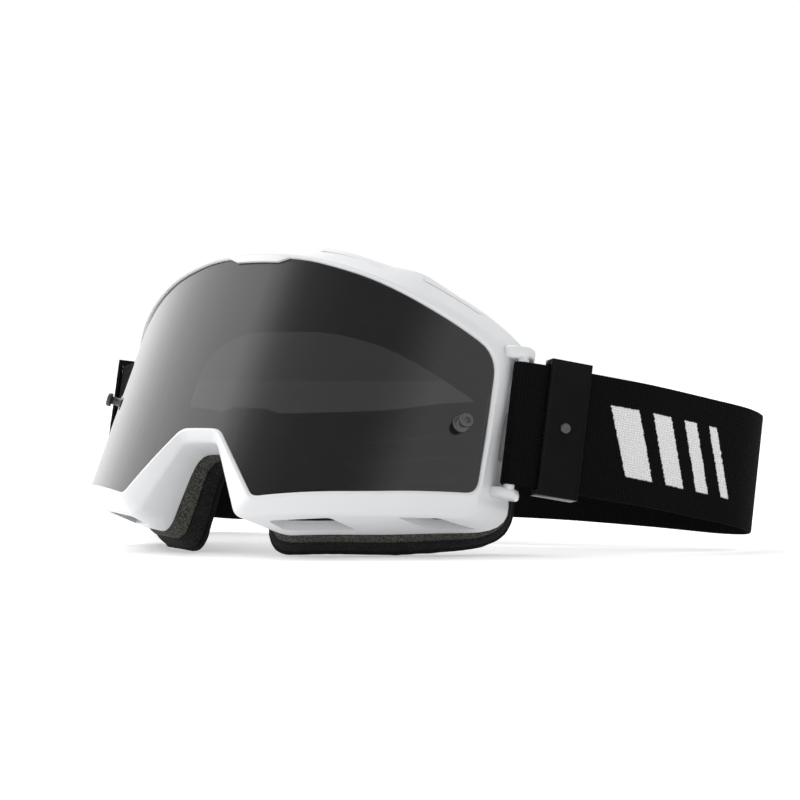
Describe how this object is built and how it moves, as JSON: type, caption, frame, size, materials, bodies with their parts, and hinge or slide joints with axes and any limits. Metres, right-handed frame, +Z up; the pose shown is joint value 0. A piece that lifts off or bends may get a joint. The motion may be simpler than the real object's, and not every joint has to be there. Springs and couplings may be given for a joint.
{
  "type": "motorcycle goggles",
  "caption": "Off-road goggles: moulded frame with a smoke lens, layered face foam, vents, tear-off posts and an elastic strap with sliding adjusters.",
  "frame": {"origin": "middle of the footprint box on the surface that the goggles stand on", "axes": "+Z up, +X to the wearer's left, -Y the way the lens faces; the goggles lean back 12 degrees on the lower edges of the foam"},
  "size_m": [0.2732, 0.1802, 0.1129],
  "materials": {
    "frame_white": "satin",
    "lens_smoke": "polished tint",
    "post_grey": "gloss",
    "foam_grey": "open-cell foam",
    "foam_black": "soft foam",
    "fleece_black": "brushed fleece",
    "vent_foam": "coarse open-cell foam",
    "webbing_black": "woven elastic",
    "silicone_black": "satin",
    "slider_black": "gloss"
  },
  "bodies": {
    "goggles": {"frame": "frame_white", "lens": "lens_smoke", "tear_off_post_right": "post_grey", "tear_off_post_left": "post_grey", "post_washer_right": "post_grey", "post_washer_left": "post_grey", "foam_backing": "foam_grey", "foam_core": "foam_black", "fleece_facing": "fleece_black", "vent_foam_top_right": "vent_foam", "vent_foam_top_left": "vent_foam", "vent_foam_shoulder_right": "vent_foam", "vent_foam_shoulder_left": "vent_foam", "vent_foam_side_right": "vent_foam", "vent_foam_side_left": "vent_foam", "vent_foam_cheek_right": "vent_foam", "vent_foam_cheek_left": "vent_foam", "vent_foam_jaw_right": "vent_foam", "vent_foam_jaw_left": "vent_foam", "strap": "webbing_black", "grip_beads": "silicone_black"},
    "right_slider": {"slider_right": "slider_black", "slider_stud_right": "slider_black"},
    "left_slider": {"slider_left": "slider_black", "slider_stud_left": "slider_black"}
  },
  "joints": [
    {"name": "right_slider_slide", "type": "slide", "parent": "goggles", "child": "right_slider", "axis": [0.5739, 0.8009, -0.171], "range_m": [0, 0.02]},
    {"name": "left_slider_slide", "type": "slide", "parent": "goggles", "child": "left_slider", "axis": [-0.5739, 0.8009, -0.171], "range_m": [0, 0.02]}
  ]
}
